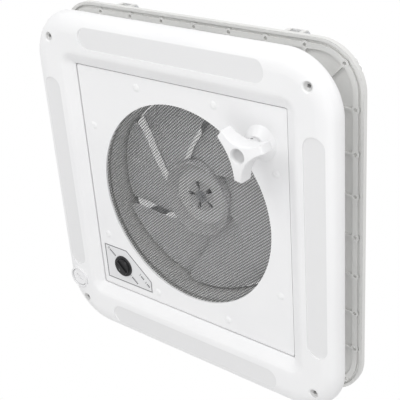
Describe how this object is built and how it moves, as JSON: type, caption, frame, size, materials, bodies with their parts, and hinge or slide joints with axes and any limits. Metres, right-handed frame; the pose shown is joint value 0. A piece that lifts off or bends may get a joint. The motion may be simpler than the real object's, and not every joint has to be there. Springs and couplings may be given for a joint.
{
  "type": "caravan roof vent",
  "caption": "Square caravan roof vent with hinged lid raised by a crank and worm drive, fan in a round throat, insect screen and white trim frame.",
  "frame": {"origin": "centre of the roof opening in the plane of the roof's outer surface, where the flange's lip rests", "axes": "+Z out of the roof, -Z into the cabin; +Y towards the lid's hinge; the crank is on the -X side"},
  "size_m": [0.428, 0.428, 0.1427],
  "materials": {
    "shell_plastic": "fine moulded grain",
    "lid_plastic": "smooth, slightly weathered",
    "trim_plastic": "satin white moulding",
    "fan_plastic": "milky, half-translucent moulding",
    "seal_rubber": "matt extruded rubber",
    "steel": "zinc plated",
    "bracket_metal": "plain sheet and strip",
    "motor_metal": "grey coated can",
    "gear_nylon": "natural nylon",
    "net_fibre": "coated fibre mesh",
    "black_plastic": "fine satin",
    "label_film": "printed film",
    "fuse_plastic": "clear coloured moulding"
  },
  "bodies": {
    "base": {"base_frame": "shell_plastic", "lid_seal": "seal_rubber", "hinge_pins": "steel", "fan_deck": "shell_plastic", "throat_ring": "shell_plastic", "duct_screws": "steel", "motor_bracket": "bracket_metal", "bracket_screws": "steel", "motor": "motor_metal", "motor_screws": "steel", "operator_housing": "shell_plastic", "operator_cover": "shell_plastic", "operator_screws": "steel", "screen_plate": "trim_plastic", "insect_screen": "net_fibre", "screen_ring": "shell_plastic", "garnish": "trim_plastic", "switch_body": "black_plastic", "switch_bezel": "black_plastic", "label_plate": "label_film", "fuse_holder": "black_plastic", "fuse": "fuse_plastic"},
    "crank": {"crank_knob": "trim_plastic", "knob_screw": "steel", "crank_shaft": "steel", "worm": "gear_nylon"},
    "arm": {"worm_wheel": "gear_nylon", "arm_shaft": "steel", "lift_arm": "bracket_metal", "slide_pin": "steel"},
    "block": {"slide_block": "gear_nylon"},
    "cover": {"lid": "lid_plastic", "lid_track": "bracket_metal", "track_rivets": "steel"},
    "rotor": {"fan_rotor": "fan_plastic", "motor_shaft": "steel", "rotor_clip": "steel"},
    "selector": {"switch_knob": "black_plastic"},
    "cap": {"fuse_cap": "trim_plastic"}
  },
  "joints": [
    {"name": "lid_hinge", "type": "hinge", "parent": "base", "child": "cover", "pos_m": [0, 0.204, 0.024], "axis": [-1, 0, 0], "range_deg": [0, 70]},
    {"name": "arm_swing", "type": "hinge", "parent": "base", "child": "arm", "pos_m": [-0.116, 0.084, 0.024], "axis": [-1, 0, 0], "range_deg": [0, 140]},
    {"name": "block_pivot", "type": "hinge", "parent": "arm", "child": "block", "pos_m": [-0.0935, -0.036, 0.024], "axis": [-1, 0, 0], "range_deg": [-70, 0]},
    {"name": "crank_turn", "type": "hinge", "parent": "base", "child": "crank", "pos_m": [-0.116, 0.106, 0], "axis": [0, 0, 1], "range_deg": [0, 2800]},
    {"name": "fan_spin", "type": "hinge", "parent": "base", "child": "rotor", "pos_m": [0, 0, 0], "axis": [0, 0, 1], "continuous": true},
    {"name": "switch_turn", "type": "hinge", "parent": "base", "child": "selector", "pos_m": [0.113, -0.116, 0], "axis": [0, 0, 1], "range_deg": [0, 180]},
    {"name": "fuse_cap_turn", "type": "hinge", "parent": "base", "child": "cap", "pos_m": [0.19, -0.152, 0], "axis": [0, 0, 1], "range_deg": [0, 90]}
  ],
  "couplings": [
    {"joint": "arm_swing", "follows": "lid_hinge", "ratio": 2},
    {"joint": "block_pivot", "follows": "lid_hinge", "ratio": -1},
    {"joint": "crank_turn", "follows": "lid_hinge", "ratio": 40}
  ]
}
